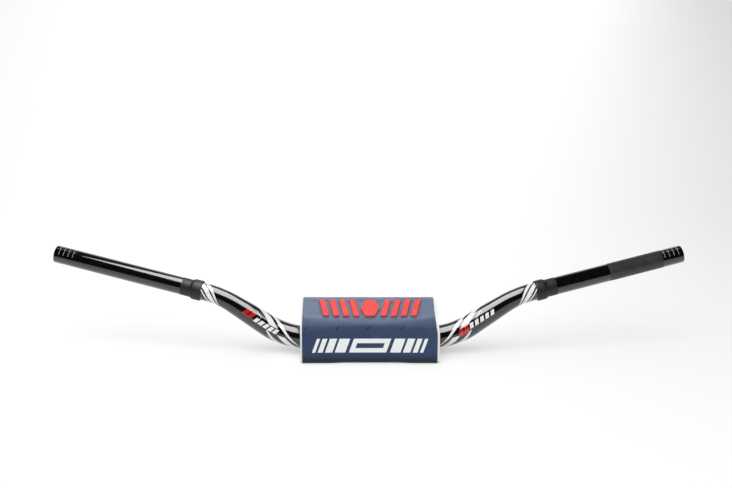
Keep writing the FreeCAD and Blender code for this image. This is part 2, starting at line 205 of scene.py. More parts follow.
def tube_runs():
    """The runs of one half of the tube's axis: (length, start, heading, towards, radius).

    A straight run has no radius. A bend turns from its heading to the direction "towards".
    """
    riser = run_direction(RISER_RISE, RISER_SWEEP)
    grip = run_direction(GRIP_RISE, GRIP_SWEEP)
    lower = Vector((CLAMP_HALF, 0, 0))
    upper = lower + riser * RISER_LENGTH
    tip_x = OVERALL_HALF - GRIP_RADIUS * math.sqrt(1 - grip.x**2)
    tip = upper + grip * ((tip_x - upper.x) / grip.x)
    corners = [(lower, riser, LOWER_BEND_RADIUS), (upper, grip, UPPER_BEND_RADIUS), (tip, grip, 0)]
    runs = []
    place, before = Vector((0, 0, 0)), Vector((1, 0, 0))
    for corner, after, radius in corners:
        turn = before.angle(after) if radius else 0
        setback = radius * math.tan(turn / 2)
        bend_start = corner - before * setback
        runs.append(((bend_start - place).length, place, before, None, 0))
        place = bend_start
        if radius:
            towards = (after - before * after.dot(before)).normalized()
            runs.append((radius * turn, bend_start, before, towards, radius))
            place = corner + after * setback
        before = after
    return runs


RUNS = tube_runs()
LOWER_BEND_START = RUNS[0][0]
LOWER_BEND_END = LOWER_BEND_START + RUNS[1][0]
UPPER_BEND_START = LOWER_BEND_END + RUNS[2][0]
UPPER_BEND_END = UPPER_BEND_START + RUNS[3][0]
TIP = UPPER_BEND_END + RUNS[4][0]
COLLAR_START = UPPER_BEND_END + COLLAR_SETBACK
COLLAR_END = COLLAR_START + COLLAR_LENGTH
NECK_END = COLLAR_END + MATTE_NECK


def on_axis(distance):
    """The point and the heading of the right half's axis at a distance from the clamp centre."""
    for length, start, heading, towards, radius in RUNS:
        if distance <= length + 1e-9:
            break
        distance -= length
    if not radius:
        return start + heading * distance, heading
    turn = distance / radius
    point = start + heading * (radius * math.sin(turn)) + towards * (radius * (1 - math.cos(turn)))
    return point, heading * math.cos(turn) + towards * math.sin(turn)


def tapered(distance, clamp_radius, grip_radius):
    """A radius that goes from clamp to grip over the swaged cone."""
    share = min(max((distance - LOWER_BEND_END) / TAPER_LENGTH, 0), 1)
    return clamp_radius + (grip_radius - clamp_radius) * share


def rounded_edge(start, level, radius, turn, steps, material):
    """A stretch of the profile that turns down from a level by an arc."""
    return [
        (start + radius * math.sin(angle), level - radius * (1 - math.cos(angle)), material)
        for angle in spread_to(0, turn, turn / steps)
    ]


def tube_profile(knurled):
    """One half of the tube's wall as (distance, radius, material), out along it and back inside.

    The materials are 0 for lacquer, 1 for the matte collar, 2 for knurling and 3 for the bore.
    """
    top = GRIP_RADIUS + COLLAR_HEIGHT
    shoulder = COLLAR_END - SHOULDER_RADIUS
    foot_angle = math.acos((GRIP_RADIUS - top + SHOULDER_RADIUS) / SHOULDER_RADIUS)
    stops = [0, LOWER_BEND_START, LOWER_BEND_END, UPPER_BEND_START, UPPER_BEND_END]
    outside = spread_over(stops, [14 * MM, 2 * MM, 6 * MM, 2 * MM])
    wall = [(d, tapered(d, CLAMP_RADIUS, GRIP_RADIUS), 0) for d in outside]
    wall += [(d, GRIP_RADIUS, 0) for d in spread(UPPER_BEND_END, COLLAR_START, 2.4 * MM)]
    wall += [(COLLAR_START, GRIP_RADIUS, 1)]
    for turn in spread_to(0, math.pi / 2, math.pi / 12):
        out = COLLAR_ROUND * (1 - math.cos(turn))
        wall.append((COLLAR_START + out, top - COLLAR_EDGE * (1 - math.sin(turn)), 1))
    wall += [(d, top, 1) for d in spread(COLLAR_START + COLLAR_ROUND + MM, shoulder, 2 * MM)]
    wall += rounded_edge(shoulder, top, SHOULDER_RADIUS, foot_angle, 8, 1)
    wall += [(d, GRIP_RADIUS, 1) for d in spread(COLLAR_END, NECK_END, 3 * MM)]
    knurl_start, knurl_end = TIP - KNURL_START, TIP - KNURL_END
    plain_end = knurl_start if knurled else knurl_end
    wall += [(d, GRIP_RADIUS, 0) for d in spread(NECK_END, plain_end, 12 * MM)]
    if knurled:
        wall += [(d, GRIP_RADIUS, 2) for d in spread(knurl_start, knurl_end, KNURL_STEP)]
        wall += [(knurl_end, GRIP_RADIUS, 0)]
    wall += rounded_edge(TIP - RIM_RADIUS, GRIP_RADIUS, RIM_RADIUS, math.pi / 2, 5, 0)
    wall += [(TIP, GRIP_BORE_RADIUS + RIM_BEVEL, 3), (TIP - RIM_BEVEL, GRIP_BORE_RADIUS, 3)]
    steps = [-30 * MM, -4 * MM, -14 * MM, -4 * MM, -30 * MM]
    inside = spread_over([TIP - 4 * MM] + stops[::-1], steps) + [0]
    wall += [(d, tapered(d, CLAMP_BORE_RADIUS, GRIP_BORE_RADIUS), 3) for d in inside]
    return wall


ANGLES = np.arange(AROUND) * (2 * math.pi / AROUND) - math.pi


def knurl(distance):
    """The height of a diamond knurl round the tube at one distance."""
    row = round((distance - TIP + KNURL_START) / KNURL_STEP)
    spots = np.arange(AROUND)
    diamonds = np.cos(math.pi * (spots + row) / 4) * np.cos(math.pi * (spots - row) / 4)
    from_end = min(distance - TIP + KNURL_START, TIP - KNURL_END - distance)
    return KNURL_DEPTH * (np.abs(diamonds) - 0.5) * min(1, max(0, from_end / KNURL_FADE))


def tube_ring(distance, radius, side, bumps):
    """The points of one ring. Angle 0 faces the front, and a quarter turn on is the top."""
    point, heading = on_axis(distance)
    heading = np.array(heading)
    front = np.array((0, -1, 0)) + heading[1] * heading
    front /= np.linalg.norm(front)
    up = np.cross(front, heading)
    out = (radius + bumps) * np.ones(AROUND)
    points = np.array(point) + np.outer(out * np.cos(ANGLES), front)
    points += np.outer(out * np.sin(ANGLES), up)
    points[:, 0] *= side
    return points


def make_tube():
    """The whole one-piece tube: both halves of its wall joined into one closed surface."""
    right = [(1, *spot) for spot in tube_profile(True)]
    left = [(-1, *spot) for spot in tube_profile(False)[::-1]]
    # A strip's material is that of its ring nearer to the clamp on the outside.
    strips = [spot[3] for spot in right[:-1] + left[1:]]
    rings = right + left[1:-1]
    points = [
        tube_ring(distance, radius, side, knurl(distance) if material == 2 else 0)
        for side, distance, radius, material in rings
    ]
    faces = ring_faces(len(rings), AROUND, closed=True)
    materials = [lacquer(), matte_metal(), knurled_metal(), bare_aluminium()]
    tube = new_piece("bent_tube", np.concatenate(points), faces, materials)
    indices = np.repeat(strips, AROUND).astype(np.int32)
    tube.data.polygons.foreach_set("material_index", indices)
    places = []
    spots = [(side * distance, radius) for side, distance, radius, _ in rings]
    step = 2 * math.pi / AROUND
    for here, after in zip(spots, spots[1:] + spots[:1]):
        for angle in ANGLES:
            for (signed, radius), turn in ((here, 0), (here, step), (after, step), (after, 0)):
                places.append((signed, angle + turn, radius))
    set_vectors(tube, "wrap", "CORNER", places)
    tube.data.flip_normals()
    sharpen(tube)
    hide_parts("bar_tube")
    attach(tube, "root")


# The pad.


def rounded_path(corners, step):
    """Points and outward normals along straight runs, rounded where a corner has a radius.

    A corner is (y, z, radius). The path goes with its outside on its right.
    """
    spots = []
    for number, (y, z, radius) in enumerate(corners):
        here = Vector((y, z))
        if not radius:
            spots.append([here])
            continue
        before = (here - Vector(corners[number - 1][:2])).normalized()
        after = (Vector(corners[number + 1][:2]) - here).normalized()
        turn = before.angle_signed(after)
        setback = radius * math.tan(abs(turn) / 2)
        start = here - before * setback
        inwards = Vector((before.y, -before.x)) * (1 if turn > 0 else -1)
        count = max(3, round(radius * abs(turn) / step))
        angles = [abs(turn) * mark / count for mark in range(count + 1)]
        ahead = [start + before * (radius * math.sin(angle)) for angle in angles]
        inside = [inwards * (radius * (1 - math.cos(angle))) for angle in angles]
        spots.append([one + other for one, other in zip(ahead, inside)])
    points = []
    for arc, following in zip(spots, spots[1:]):
        count = max(1, round((following[0] - arc[-1]).length / step))
        points += arc + [arc[-1].lerp(following[0], mark / count) for mark in range(1, count)]
    points = np.array([tuple(p) for p in points + spots[-1]])
    along = np.gradient(points, axis=0)
    along /= np.linalg.norm(along, axis=1)[:, None]
    return points, np.stack([-along[:, 1], along[:, 0]], axis=1)


def wrap_path(step):
    """The cover's outside: the outer flap, front, top, back and inner flap, in that order."""
    corners = [
        (OUTER_FLAP_REACH, PAD_BOTTOM, 0),
        (-PAD_FRONT, PAD_BOTTOM, FOOT_ROUNDING),
        (-PAD_FRONT, BEND_HEIGHT, BEND_ROUNDING),
        (CREST_BACK, CREST_HEIGHT, CREST_ROUNDING),
        (PAD_BACK, BACK_HEIGHT, BACK_ROUNDING),
        (PAD_BACK, INNER_FLAP_UNDER, FLAP_ROUNDING),
        (-INNER_FLAP_REACH, INNER_FLAP_UNDER, 0),
    ]
    return rounded_path(corners, step)


def nearest(points, spot):
    """The number of the path's point nearest to a spot (y, z)."""
    return np.argmin(np.linalg.norm(points - np.array(spot), axis=1))


def round_marks(points):
    """The distance along a path at each of its points."""
    steps = np.linalg.norm(np.diff(points, axis=0), axis=1)
    return np.concatenate([[0], np.cumsum(steps)])


COVER_STEP = 1.4 * MM
SWELL_STEP = 3.2 * MM
SWELL_CAP = 2.4 * MM
# The swelling form is held on the floor up to a height, and less and less from each end.
HELD_HEIGHT = 1.5 * MM
HELD_SHARE, HELD_LENGTH = 0.6, 8 * MM
SWELL_FRAMES = 20
SWELL_CLOTH = {
    "quality": 6,
    "mass": 0.2,
    "tension_stiffness": 18,
    "compression_stiffness": 18,
    "shear_stiffness": 8,
    "bending_stiffness": 0.6,
    "use_pressure": True,
    "uniform_pressure_force": 4,
}


def swell():
    """How far the wrapped pad bulges, found by a cloth simulation under pressure.

    Returns the places along X, the marks round the pad, and the move (y, z) for each pair.
    """
    points, _ = wrap_path(SWELL_STEP)
    marks = round_marks(points)
    # The closed form leaves out the inner flap, which lies flat under the tube.
    shown = (points[:, 1] > INNER_FLAP_UNDER + 1e-5) | (marks < marks[-1] / 2)
    points, marks = points[shown], marks[shown]
    places = np.array(spread_to(-FOAM_LENGTH / 2, FOAM_LENGTH / 2, SWELL_STEP))
    around = len(points)
    rings = [np.column_stack([np.full(around, x + PAD_OFFSET), points]) for x in places]
    flat = np.concatenate(rings)
    faces = ring_faces(len(places), around)
    ends = [tuple(range(around)), tuple(range(len(flat) - 1, len(flat) - around - 1, -1))]
    form = new_mesh("swelling", flat, faces + ends)
    held = form.vertex_groups.new(name="held")
    for number, (x, y, z) in enumerate(flat):
        from_end = FOAM_LENGTH / 2 - abs(x - PAD_OFFSET)
        on_floor = z < PAD_BOTTOM + HELD_HEIGHT
        fixed = on_floor or from_end < 1e-6
        weight = 1.0 if fixed else max(0.0, HELD_SHARE - from_end / HELD_LENGTH)
        if weight > 0:
            held.add([number], weight, "REPLACE")
    cloth = form.modifiers.new("Cloth", "CLOTH")
    for name, value in SWELL_CLOTH.items():
        setattr(cloth.settings, name, value)
    cloth.settings.vertex_group_mass = "held"
    cloth.settings.effector_weights.gravity = 0
    cloth.point_cache.frame_start = 1
    cloth.point_cache.frame_end = SWELL_FRAMES
    for number in range(1, SWELL_FRAMES + 1):
        SCENE.frame_set(number)
    swollen = form.evaluated_get(bpy.context.evaluated_depsgraph_get()).data
    found = np.array([v.co for v in swollen.vertices])
    bpy.data.objects.remove(form)
    SCENE.frame_set(1)
    move = (found - flat)[:, 1:].reshape(len(places), around, 2)
    far = np.linalg.norm(move, axis=2, keepdims=True)
    return places, marks, move * (SWELL_CAP / np.sqrt(far**2 + SWELL_CAP**2))


def smoothed(values, times):
    """Evens out a field by averaging each value with its neighbours."""
    for _ in range(times):
        padded = np.pad(values, ((1, 1), (1, 1), (0, 0)), mode="edge")
        total = 4 * padded[1:-1, 1:-1] + padded[:-2, 1:-1] + padded[2:, 1:-1]
        values = (total + padded[1:-1, :-2] + padded[1:-1, 2:]) / 8
    return values


class Bulge:
    """The bulge of the pad, ready to be read at any place along it and any mark round it."""

    def __init__(self):
        self.places, self.marks, move = swell()
        self.move = smoothed(move, 3)

    def at(self, x, mark):
        """The moves (y, z) on a grid: x holds places from the pad's middle, mark its marks."""
        column = np.interp(x, self.places, np.arange(len(self.places)))
        row = np.interp(mark, self.marks, np.arange(len(self.marks)))
        left = np.clip(column.astype(int), 0, len(self.places) - 2)
        low = np.clip(row.astype(int), 0, len(self.marks) - 2)
        across, along = (column - left)[:, None, None], (row - low)[None, :, None]
        near, far = (
            columns[:, low] * (1 - along) + columns[:, low + 1] * along
            for columns in (self.move[left], self.move[left + 1])
        )
        return near * (1 - across) + far * across


# How far the pad's right end leans in, and where; how much shorter the cover is there; how far
# the foot tucks in, how high up, and where along X.
DRAW_IN = 3.6 * MM
LEAN_UP = (14 * MM, 48 * MM)
LEAN_ALONG = (30 * MM, 82 * MM)
RIGHT_SHORT = 0.7 * MM
TUCK = 2.2 * MM
TUCK_UP = 9 * MM
TUCK_LEFT = (-52 * MM, -30 * MM)
TUCK_RIGHT = (30 * MM, 55 * MM)
# The waves of the fabric, in millimetres, and where up the pad they start and are full.
BROAD_WAVE, FINE_WAVE = 0.34, 0.16
WAVES_FROM, WAVES_RISE = 0.5 * MM, 6 * MM


def eased(value, low, high):
    """0 at one limit and 1 at the other, with a smooth way between them."""
    share = np.clip((value - low) / (high - low), 0, 1)
    return share * share * (3 - 2 * share)


def settle(grid, x):
    """Lets the pad sit as it was pushed on: the right end leans in, and the foot tucks in."""
    height = grid[:, :, 2]
    lean = eased(height, *LEAN_UP) * eased(x, *LEAN_ALONG)[:, None]
    front = grid[:, :, 1] < 0
    low = 1 - eased(height, PAD_BOTTOM, PAD_BOTTOM + TUCK_UP)
    middle = eased(x, *TUCK_LEFT) * (1 - eased(x, *TUCK_RIGHT))
    grid[:, :, 0] -= DRAW_IN * lean
    grid[:, :, 1] += TUCK * low * front * middle[:, None]


def ruffle(x, y, z):
    """Small soft waves of the coated fabric, up to about half a millimetre."""
    broad = noise.noise(Vector((x * 22, y * 30, z * 30 + 5)))
    fine = noise.noise(Vector((x * 70 + 3, y * 55, z * 55)))
    return (BROAD_WAVE * broad + FINE_WAVE * fine) * MM


def pad_surface(bulge, x, points, normals, marks, depth, ruffled):
    """Points of the pad's surface on a grid, a depth below the cover's outside."""
    moves = bulge.at(x, marks)
    grid = np.zeros((len(x), len(points), 3))
    grid[:, :, 0] = (x + PAD_OFFSET)[:, None]
    grid[:, :, 1:] = (points - normals * depth)[None] + moves
    if ruffled:
        free = np.clip((points[:, 1] - PAD_BOTTOM - WAVES_FROM) / WAVES_RISE, 0, 1)
        free *= np.linalg.norm(moves, axis=2).max(axis=0) > 0
        for row in grid:
            for point, normal, share in zip(row, normals, free):
                if share > 0:
                    point[1:] += normal * (ruffle(*point) * share)
    settle(grid, x)
    return grid


def loft(name, sections, materials):
    """A closed surface through sections of equal points, with flat ends."""
    rings, around = len(sections), len(sections[0])
    faces = ring_faces(rings, around)
    first = tuple(range(around))[::-1]
    last = tuple(range((rings - 1) * around, rings * around))
    return new_piece(name, np.concatenate(sections), faces + [first, last], materials)


def make_cover(bulge):
    """The wrapped cover: one sheet, with its two flaps under the tube."""
    points, normals = wrap_path(COVER_STEP)
    marks = round_marks(points)
    half = FOAM_LENGTH / 2 - COVER_INSET
    right = half - RIGHT_SHORT
    x = np.array(spread_to(-half, right, COVER_STEP))
    outside = pad_surface(bulge, x, points, normals, marks, 0, True)
    inside = pad_surface(bulge, x, points, normals, marks, COVER_THICKNESS, True)
    sections = np.concatenate([outside, inside[:, ::-1]], axis=1)
    cover = loft("wrapped_cover", list(sections), [coated_fabric()])
    # The print is placed by the place along X, the mark, and 1 on the outside.
    sides = np.repeat([1.0, 0.0], len(points))
    ring = np.column_stack([0 * sides, np.concatenate([marks, marks[::-1]]), sides])
    set_vectors(cover, "print", "POINT", [ring + (place, 0, 0) for place in x])
    sharpen(cover)
    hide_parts("pad_cover")
    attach(cover, "root")
    return cover


def make_foam(bulge):
    """The foam block with its round channel and the slot that lets it onto the tube."""
    points, normals = wrap_path(2.2 * MM)
    marks = round_marks(points)
    depth = COVER_THICKNESS + SLACK
    channel = CLAMP_RADIUS + SLACK
    roof = INNER_FLAP_TOP + SLACK
    front_flap = -INNER_FLAP_REACH - SLACK
    inner = points - normals * depth
    wanted = (inner[:, 0] < front_flap) & (marks < marks[-1] / 2) | (inner[:, 1] > roof)
    half = FOAM_LENGTH / 2
    rim = 0.5 * MM
    insets = [(0.0, rim), (rim * 0.3, rim * 0.3), (rim, 0.0)]
    x = [-half + a for a, _ in insets]
    x += spread_to(-half + 2 * rim, half - 2 * rim, 4 * MM)
    x = np.array(x + [half - a for a, _ in insets[::-1]])
    grid = pad_surface(bulge, x, points[wanted], normals[wanted], marks[wanted], depth, False)
    lower = [(PAD_BACK - depth, roof), (channel, roof)]
    slot = [(channel, roof * (1 - share)) for share in (0.33, 0.66)]
    turns = [math.pi * share / 24 for share in range(25)]
    arch = [(channel * math.cos(turn), channel * math.sin(turn)) for turn in turns]
    far_slot = [(-channel, roof * share) for share in (0.33, 0.66, 1.0)]
    close = [(front_flap, roof), (front_flap, PAD_BOTTOM + depth)]
    fixed = np.array(lower + slot + arch + far_slot + close)
    middle = np.array((-2 * MM, 20 * MM))
    sections = []
    for place, outer in zip(x, grid):
        inset = next((b for a, b in insets if abs(half - a - abs(place)) < 1e-7), 0.0)
        pull = middle - outer[:, 1:]
        outer[:, 1:] += pull / np.linalg.norm(pull, axis=1)[:, None] * inset
        slotted = np.column_stack([np.full(len(fixed), place + PAD_OFFSET), fixed])
        sections.append(np.concatenate([outer, slotted]))
    foam = loft("foam_block", sections, [white_foam()])
    sharpen(foam)
    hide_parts("pad_foam_core")
    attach(foam, "root")


# A tape's soft edge, its share of the thickness there, and the height and scale of its nubs.
TAPE_EDGE, TAPE_EDGE_SHARE = 1.5 * MM, 0.35
NUB, NUB_SUNK, NUB_SCALE = 0.06 * MM, 0.05 * MM, 900


def make_tape(name, node, material, bottom, seed):
    """One half of the closure, a strip with a nubbly face and soft edges."""
    length = FOAM_LENGTH - 2 * (COVER_INSET + TAPE_INSET)
    middle = (OUTER_FLAP_REACH - INNER_FLAP_REACH) / 2
    across = spread_to(-TAPE_WIDTH / 2, TAPE_WIDTH / 2, 1.2 * MM)
    sections = []
    for x in spread_to(-length / 2, length / 2, 1.6 * MM):
        end = min(1.0, (length / 2 - abs(x)) / TAPE_EDGE + TAPE_EDGE_SHARE)
        section = []
        for sign, low in ((1, 0.0), (-1, 1.0)):
            for y in across[::sign]:
                edge = min(1.0, (TAPE_WIDTH / 2 - abs(y)) / TAPE_EDGE + TAPE_EDGE_SHARE)
                thin = TAPE_THICKNESS * (1 - edge * end) / 2
                spot = Vector((x * NUB_SCALE, y * NUB_SCALE, seed + low))
                nub = (NUB * noise.noise(spot) - NUB_SUNK) * (1 - 2 * low)
                level = bottom + thin if low == 0 else bottom + TAPE_THICKNESS - thin
                section.append((x + PAD_OFFSET, middle + y, level + nub))
        sections.append(np.array(section))
    tape = loft(name, sections, [material])
    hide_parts(node)
    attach(tape, "root")


# The badge.


def badge_middle(points, marks):
    """The mark at the middle of the pad's straight top."""
    bend = Vector((-PAD_FRONT, BEND_HEIGHT))
    crest = Vector((CREST_BACK, CREST_HEIGHT))
    back = Vector((PAD_BACK, BACK_HEIGHT))
    slope = (crest - bend).normalized()
    first = BEND_ROUNDING * math.tan(slope.angle(Vector((0, 1))) / 2)
    last = CREST_ROUNDING * math.tan(slope.angle(back - crest) / 2)
    middle = (bend + slope * first + crest - slope * last) / 2
    number = nearest(points, middle)
    return marks[number] + np.array(slope) @ (np.array(middle) - points[number])


def make_badge_piece(bulge, name, node, rows, across):
    """A raised piece of rubber that follows the pad's top.

    rows are (share of the way up, left edge, right edge), the edges from the piece's middle.
    """
    points, normals = wrap_path(1.0 * MM)
    marks = round_marks(points)
    centre = badge_middle(points, marks)
    ups, lefts, rights = zip(*rows)
    steps, widths = np.linspace(0, 1, 25), np.linspace(0, 1, 9)
    edges = zip(steps, np.interp(steps, ups, lefts), np.interp(steps, ups, rights))
    top, foot = [], []
    for share, left, right in edges:
        mark = centre + (share - 0.5) * BADGE_LENGTH
        for width in widths:
            x = across + left + (right - left) * width
            move = bulge.at(np.array([x]), np.array([mark]))[0, 0]
            base = np.array([np.interp(mark, marks, points[:, k]) for k in (0, 1)])
            out = np.array([np.interp(mark, marks, normals[:, k]) for k in (0, 1)])
            base += move
            for level, layer in ((BADGE_HEIGHT, top), (-BADGE_SUNK, foot)):
                y, z = base + out * level
                layer.append((x + PAD_OFFSET, y, z))
    columns, count = len(widths), len(top)
    faces = []
    for row in range(len(steps) - 1):
        for column in range(columns - 1):
            a = row * columns + column
            quad = (a, a + 1, a + columns + 1, a + columns)
            faces += [quad, tuple(count + spot for spot in quad[::-1])]
    last = (len(steps) - 1) * columns
    border = [(a + columns, a) for a in range(0, last, columns)]
    border += [(a, a + columns) for a in range(columns - 1, last, columns)]
    border += [(a, a + 1) for a in range(columns - 1)]
    border += [(a + 1, a) for a in range(last, last + columns - 1)]
    faces += [(b, a, a + count, b + count) for a, b in border]
    piece = new_piece(name, top + foot, faces, [red_rubber()])
    rounding = piece.modifiers.new("Rounding", "BEVEL")
    rounding.width = BADGE_EDGE
    rounding.segments = 3
    rounding.limit_method = "ANGLE"
    rounding.angle_limit = SHARP_TURN
    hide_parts(node)
    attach(piece, "root")


def make_badge(bulge):
    """A lozenge in the middle, and a row of leaning bars on each side."""
    tip, flank = LOZENGE_WIDTH / 2, LOZENGE_WIDTH / 4
    lozenge = [(0, -flank, flank), (0.5, -tip, tip), (1, -flank, flank)]
    make_badge_piece(bulge, "lozenge", "badge_lozenge", lozenge, 0)
    for side, name in ((1, "right"), (-1, "left")):
        half, lean = BAR_WIDTH / 2, side * BAR_LEAN / 2
        rows = [(0, -half - lean, half - lean), (1, -half + lean, half + lean)]
        for number in range(BARS_PER_SIDE):
            across = side * (FIRST_BAR + number * BAR_PITCH)
            label = f"{name}_{number + 1}"
            make_badge_piece(bulge, f"leaning_bar_{label}", f"badge_bar_{label}", rows, across)


# Materials.


class Graph:
    """The nodes of a material or the world, with a short call for each kind that is used."""

    def __init__(self, name, shader="BsdfPrincipled", world=False):
        self.owner = (bpy.data.worlds if world else bpy.data.materials).new(name)
        self.owner.use_nodes = True
        self.tree = self.owner.node_tree
        self.tree.nodes.clear()
        self.shader = self.add(shader)
        self.add("OutputWorld" if world else "OutputMaterial", Surface=self.shader.outputs[0])

    def put(self, socket, value):
        if isinstance(value, bpy.types.NodeSocket):
            self.tree.links.new(value, socket)
        elif socket.type == "RGBA":
            socket.default_value = (*value, 1)
        else:
            socket.default_value = value

    def fill(self, node, inputs):
        """Sets a node's inputs by name; an underscore stands for a space."""
        for name, value in inputs.items():
            self.put(node.inputs[name.replace("_", " ")], value)

    def add(self, kind, **inputs):
        """A new node of a kind."""
        node = self.tree.nodes.new("ShaderNode" + kind)
        self.fill(node, inputs)
        return node

    def set(self, **inputs):
        """Sets the shader's own inputs."""
        self.fill(self.shader, inputs)

    def place(self):
        """The place on the object, in metres."""
        return self.add("TexCoord").outputs["Object"]

    def attribute(self, name):
        node = self.add("Attribute")
        node.attribute_name = name
        return node.outputs["Vector"]

    def split(self, vector):
        return self.add("SeparateXYZ", Vector=vector).outputs

    def join(self, x, y, z):
        return self.add("CombineXYZ", X=x, Y=y, Z=z).outputs[0]

    def math(self, operation, *values):
        node = self.add("Math")
        node.operation = operation
        for socket, value in zip(node.inputs, values):
            self.put(socket, value)
        return node.outputs[0]

    def times(self, first, *others):
        """The product of all the values."""
        for other in others:
            first = self.math("MULTIPLY", first, other)
        return first

    def rest(self, value):
        """What is left of 1."""
        return self.math("SUBTRACT", 1.0, value)

    def blend(self, value, low, high, first, second):
        """A colour that goes from the first to the second between two limits."""
        return self.mix(self.remap(value, low, high), first, second)

    def mix(self, share, first, second):
        node = self.add("Mix", Factor=share)
        node.data_type = "RGBA"
        colours = [socket for socket in node.inputs if socket.type == "RGBA"]
        self.put(colours[0], first)
        self.put(colours[1], second)
        return next(socket for socket in node.outputs if socket.type == "RGBA")

    def remap(self, value, low, high, to_low=0.0, to_high=1.0, kind="LINEAR"):
        limits = {"From_Min": low, "From_Max": high, "To_Min": to_low, "To_Max": to_high}
        node = self.add("MapRange", Value=value, **limits)
        node.interpolation_type = kind
        return node.outputs[0]

    def eased(self, value, *limits):
        """Remaps with a smooth way between the limits."""
        return self.remap(value, *limits, kind="SMOOTHSTEP")

    def noise(self, scale, detail, vector=None):
        """Noise by the place on the object, or by another vector."""
        vector = self.place() if vector is None else vector
        return self.add("TexNoise", Vector=vector, Scale=scale, Detail=detail).outputs[0]

    def cells(self, scale):
        return self.add("TexVoronoi", Vector=self.place(), Scale=scale).outputs["Distance"]

    def bump(self, height, distance, strength):
        node = self.add("Bump", Height=height, Distance=distance, Strength=strength)
        self.set(Normal=node.outputs[0])

    def within(self, value, low, high):
        """1 where a value lies between two limits, and 0 elsewhere."""
        return self.times(self.math("GREATER_THAN", value, low), self.math("LESS_THAN", value, high))

    def blocks(self, value, spans):
        """The mask of blocks along a value, as (middle, width) in millimetres."""
        spans = [((middle - width / 2) * MM, (middle + width / 2) * MM) for middle, width in spans]
        return self.any_of([self.within(value, *span) for span in spans])

    def any_of(self, masks):
        result = masks[0]
        for mask in masks[1:]:
            result = self.math("MAXIMUM", result, mask)
        return result


BLACK_LACQUER = srgb(5, 5, 5)
WHITE_PRINT = srgb(250, 250, 251)
RED_PRINT = srgb(196, 24, 26)
ETCHED = srgb(176, 176, 172)

# A stripe winds round the tube between two lines. Each line is its distance from the clamp
# centre at the front, and how far that grows by the radian towards the top, in millimetres.
# The last two values are the angles at which the stripe ends.
STRIPES = [
    ((218.2, 9.6), (220.3, 9.6), -2.4, 2.9),
    ((208.7, 10.0), (215.5, 9.6), -2.4, 2.9),
    ((203.6, 8.3), (206.3, 10.2), -2.4, 2.9),
    ((107.8, 21.5), (122.0, 20.0), 0.44, 2.6),
    ((97.3, 17.5), (101.0, 21.7), -2.0, 2.6),
    ((106.3, 19.5), (117.0, 20.5), -2.0, -0.08),
    ((131.3, 26.0), (132.4, 16.0), -2.0, -0.12),
    ((130.7, 21.6), (131.8, 21.6), 0.54, 1.02),
]


def stripe(graph, along, angle, spec):
    """The mask of one stripe."""
    near, far, low, high = spec
    above = [
        graph.math("SUBTRACT", along, graph.math("MULTIPLY_ADD", angle, lean * MM, start * MM))
        for start, lean in (near, far)
    ]
    between = graph.math("LESS_THAN", graph.times(*above), 0.0)
    return graph.times(between, graph.within(angle, low, high))


# Small generic marks on the front of the risers, as (side, first middle, pitch, how many, angle),
# and the length and height of each colour's marks, in millimetres.
WHITE_MARKS = [(-1, 118.6, 7.0, 5, 0.15), (1, 133.4, 7.6, 5, 0.22)]
WHITE_MARK_SIZE = (5.0, 5.6)
RED_MARKS = [(-1, 155.0, 7.6, 2, 0.34), (1, 117.4, 7.6, 2, 0.1)]
RED_MARK_SIZE = (6.0, 8.4)
MARK_LEAN = 0.5
RISER_RADIUS = 12.5 * MM


def small_marks(graph, signed, angle, rows, size):
    """The mask of rows of small leaning blocks."""
    length, height = size
    masks = []
    for side, first, pitch, count, turn in rows:
        level = graph.times(graph.math("SUBTRACT", angle, turn), RISER_RADIUS)
        along = graph.times(signed, float(side))
        shift = graph.math("MULTIPLY_ADD", level, -MARK_LEAN * side, along)
        spans = [(first + pitch * number, length) for number in range(count)]
        inside = graph.within(level, -height / 2 * MM, height / 2 * MM)
        masks.append(graph.times(graph.blocks(shift, spans), inside))
    return graph.any_of(masks)


# The etched lines near each tip: the first one's distance from the tip, their pitch and number,
# half of a line's width, the angles at which a line ends, and the angle and radius of its dot.
FIRST_LINE = 6.7 * MM
LINE_PITCH = 6.1 * MM
LINES = 4
LINE_HALF = 0.24 * MM
LINE_ENDS = (0.3, 1.75)
DOT_ANGLE = 1.02
DOT_RADIUS = 0.8 * MM
# A hairline joins the dots: half of its angle, how many pitches it reaches, and its outer end.
HAIRLINE_HALF = 0.012
HAIRLINE_REACH = 3.6
HAIRLINE_END = 2 * MM


def etched_lines(graph, along, angle):
    """Short etched lines near a tip, each with a dot, joined by a hairline."""
    lines = []
    for number in range(LINES):
        place = TIP - FIRST_LINE - number * LINE_PITCH
        line = graph.within(along, place - LINE_HALF, place + LINE_HALF)
        lines.append(graph.times(line, graph.within(angle, *LINE_ENDS)))
        across = graph.math("SUBTRACT", along, place)
        round_it = graph.times(graph.math("SUBTRACT", angle, DOT_ANGLE), GRIP_RADIUS)
        squares = [graph.math("POWER", away, 2.0) for away in (across, round_it)]
        lines.append(graph.math("LESS_THAN", graph.math("ADD", *squares), DOT_RADIUS**2))
    hairline = graph.within(angle, DOT_ANGLE - HAIRLINE_HALF, DOT_ANGLE + HAIRLINE_HALF)
    start = TIP - FIRST_LINE - HAIRLINE_REACH * LINE_PITCH
    lines.append(graph.times(hairline, graph.within(along, start, TIP - HAIRLINE_END)))
    return graph.any_of(lines)


